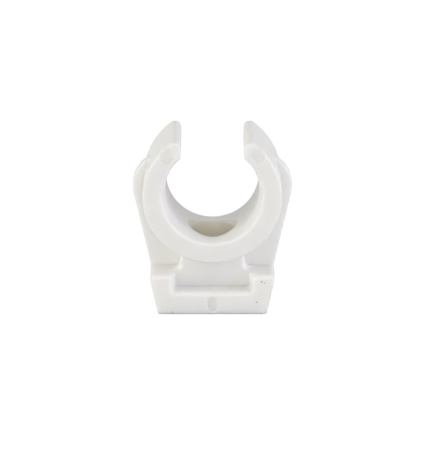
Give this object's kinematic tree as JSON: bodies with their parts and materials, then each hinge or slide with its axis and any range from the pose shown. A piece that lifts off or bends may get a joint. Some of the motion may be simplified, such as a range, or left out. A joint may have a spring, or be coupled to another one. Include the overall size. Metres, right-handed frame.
{
  "type": "pipe clip",
  "caption": "One-piece moulded plastic snap-in pipe clip: an open spring ring on a screw-down foot, with a recessed screw hole in the ring floor and a stiffening plate at mid-length.",
  "frame": {"origin": "centre of the underside of the foot", "axes": "+Z from the wall towards the pipe and out of the mouth, Y along the pipe with the front face at -Y, X across the clip"},
  "size_m": [0.0254, 0.012, 0.0289],
  "materials": {
    "white_polypropylene": "satin as moulded, slightly translucent"
  },
  "bodies": {
    "root": {"pipe_clip": "white_polypropylene"}
  },
  "joints": []
}
